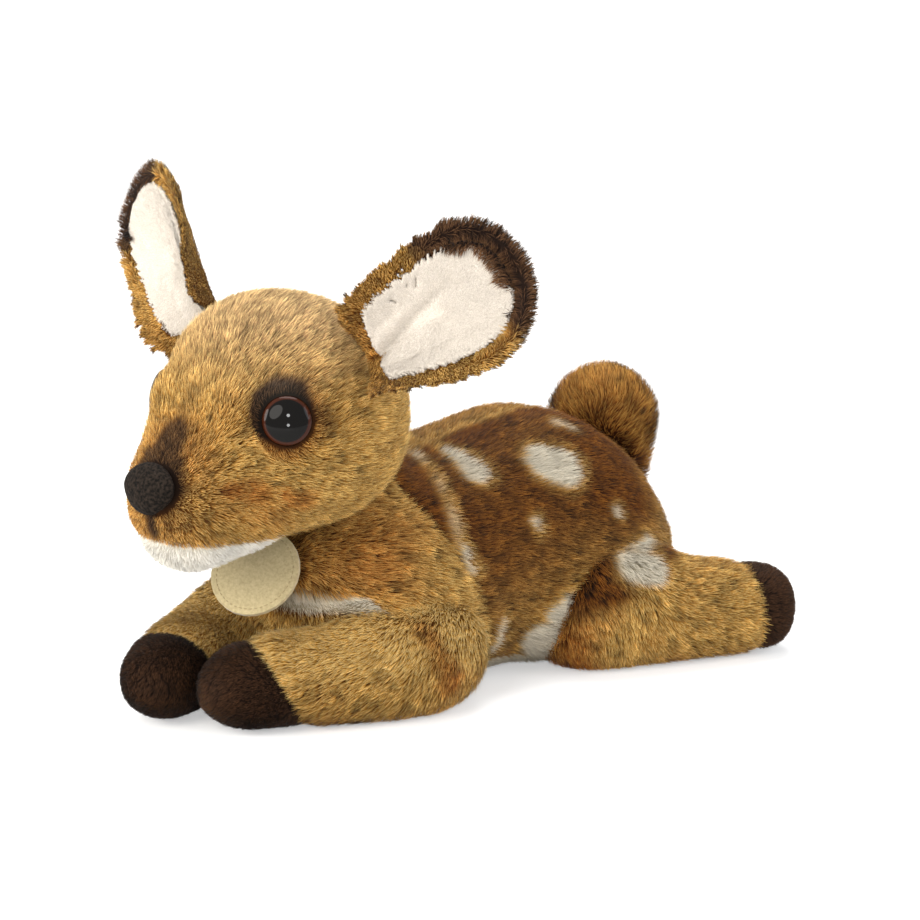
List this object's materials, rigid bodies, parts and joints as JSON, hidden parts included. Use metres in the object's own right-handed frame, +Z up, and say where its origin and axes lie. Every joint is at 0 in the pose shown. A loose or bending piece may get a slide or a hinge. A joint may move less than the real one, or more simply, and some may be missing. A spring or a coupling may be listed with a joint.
{
  "type": "plush toy deer",
  "caption": "Soft stuffed fawn that lies with its front legs ahead and rear legs stretched back, with cupped ears, a glossy-eyed turning head and a round hanging tag.",
  "frame": {"origin": "bottom middle of the bounding box, on the surface the toy lies on", "axes": "+Z up; the fawn faces -Y and its body runs along Y; +X is its left side"},
  "size_m": [0.2076, 0.276, 0.2001],
  "materials": {
    "golden_fur": "plush pile, golden brown",
    "saddle_fur": "plush pile, dark brown with white spots",
    "leg_fur": "plush pile, golden brown",
    "white_fur": "plush pile, off white",
    "hoof_fur": "short plush pile, dark brown",
    "tail_fur": "plush pile, brown",
    "stuffing": "loose polyester fibre",
    "pellet_cloth": "woven bag of plastic pellets",
    "eye_gloss": "polished, nearly black",
    "washer_plastic": "moulded, natural",
    "nose_flock": "flocked black",
    "tag_cloth": "suede cloth, beige",
    "loop_cord": "twisted cord"
  },
  "bodies": {
    "torso": {"front_cover": "golden_fur", "saddle_cover": "saddle_fur", "belly_panel": "white_fur", "pellet_bag": "pellet_cloth", "body_stuffing": "stuffing"},
    "head": {"head_cover": "golden_fur", "chin_panel": "white_fur", "head_stuffing": "stuffing", "eye_left": "eye_gloss", "eye_washer_left": "washer_plastic", "eye_right": "eye_gloss", "eye_washer_right": "washer_plastic", "nose": "nose_flock", "nose_washer": "washer_plastic", "tag_loop": "loop_cord"},
    "ear_left": {"ear_back_left": "golden_fur", "ear_lining_left": "white_fur"},
    "ear_right": {"ear_back_right": "golden_fur", "ear_lining_right": "white_fur"},
    "tag": {"tag_disc": "tag_cloth"},
    "tail": {"tail_cover": "tail_fur", "tail_stuffing": "stuffing"},
    "front_leg_left": {"front_leg_cover_left": "leg_fur", "front_hoof_left": "hoof_fur", "front_leg_stuffing_left": "stuffing"},
    "front_leg_right": {"front_leg_cover_right": "leg_fur", "front_hoof_right": "hoof_fur", "front_leg_stuffing_right": "stuffing"},
    "rear_leg_left": {"rear_leg_cover_left": "leg_fur", "rear_hoof_left": "hoof_fur", "rear_leg_stuffing_left": "stuffing"},
    "rear_leg_right": {"rear_leg_cover_right": "leg_fur", "rear_hoof_right": "hoof_fur", "rear_leg_stuffing_right": "stuffing"}
  },
  "joints": [
    {"name": "head_turn", "type": "hinge", "parent": "torso", "child": "head", "pos_m": [-0.00213, -0.03771, 0.077], "axis": [0, 0, 1], "range_deg": [-20, 20]},
    {"name": "ear_left_flop", "type": "hinge", "parent": "head", "child": "ear_left", "pos_m": [0.03866, -0.05973, 0.13777], "axis": [0.5856, -0.0745, -0.8071], "range_deg": [-20, 20], "stiffness_Nm_per_rad": 0.05},
    {"name": "ear_right_flop", "type": "hinge", "parent": "head", "child": "ear_right", "pos_m": [-0.04292, -0.05973, 0.13777], "axis": [0.7186, -0.1685, 0.6747], "range_deg": [-20, 20], "stiffness_Nm_per_rad": 0.05},
    {"name": "tag_swing", "type": "hinge", "parent": "head", "child": "tag", "pos_m": [-0.00276, -0.07555, 0.0683], "axis": [-0.9135, -0.4067, 0], "range_deg": [0, 30]},
    {"name": "tail_wag", "type": "hinge", "parent": "torso", "child": "tail", "pos_m": [-0.00213, 0.10827, 0.06704], "axis": [0, 1, 0], "range_deg": [-18, 18], "stiffness_Nm_per_rad": 0.06},
    {"name": "front_leg_left_splay", "type": "hinge", "parent": "torso", "child": "front_leg_left", "pos_m": [0.03787, -0.03168, 0.02054], "axis": [0, 0, 1], "range_deg": [0, 15]},
    {"name": "front_leg_right_splay", "type": "hinge", "parent": "torso", "child": "front_leg_right", "pos_m": [-0.04279, -0.04332, 0.02054], "axis": [0, 0, -1], "range_deg": [0, 15]},
    {"name": "rear_leg_left_splay", "type": "hinge", "parent": "torso", "child": "rear_leg_left", "pos_m": [0.04199, 0.05894, 0.02346], "axis": [0, 0, -1], "range_deg": [-5, 12]},
    {"name": "rear_leg_right_splay", "type": "hinge", "parent": "torso", "child": "rear_leg_right", "pos_m": [-0.04625, 0.05894, 0.02346], "axis": [0, 0, 1], "range_deg": [-5, 12]}
  ]
}
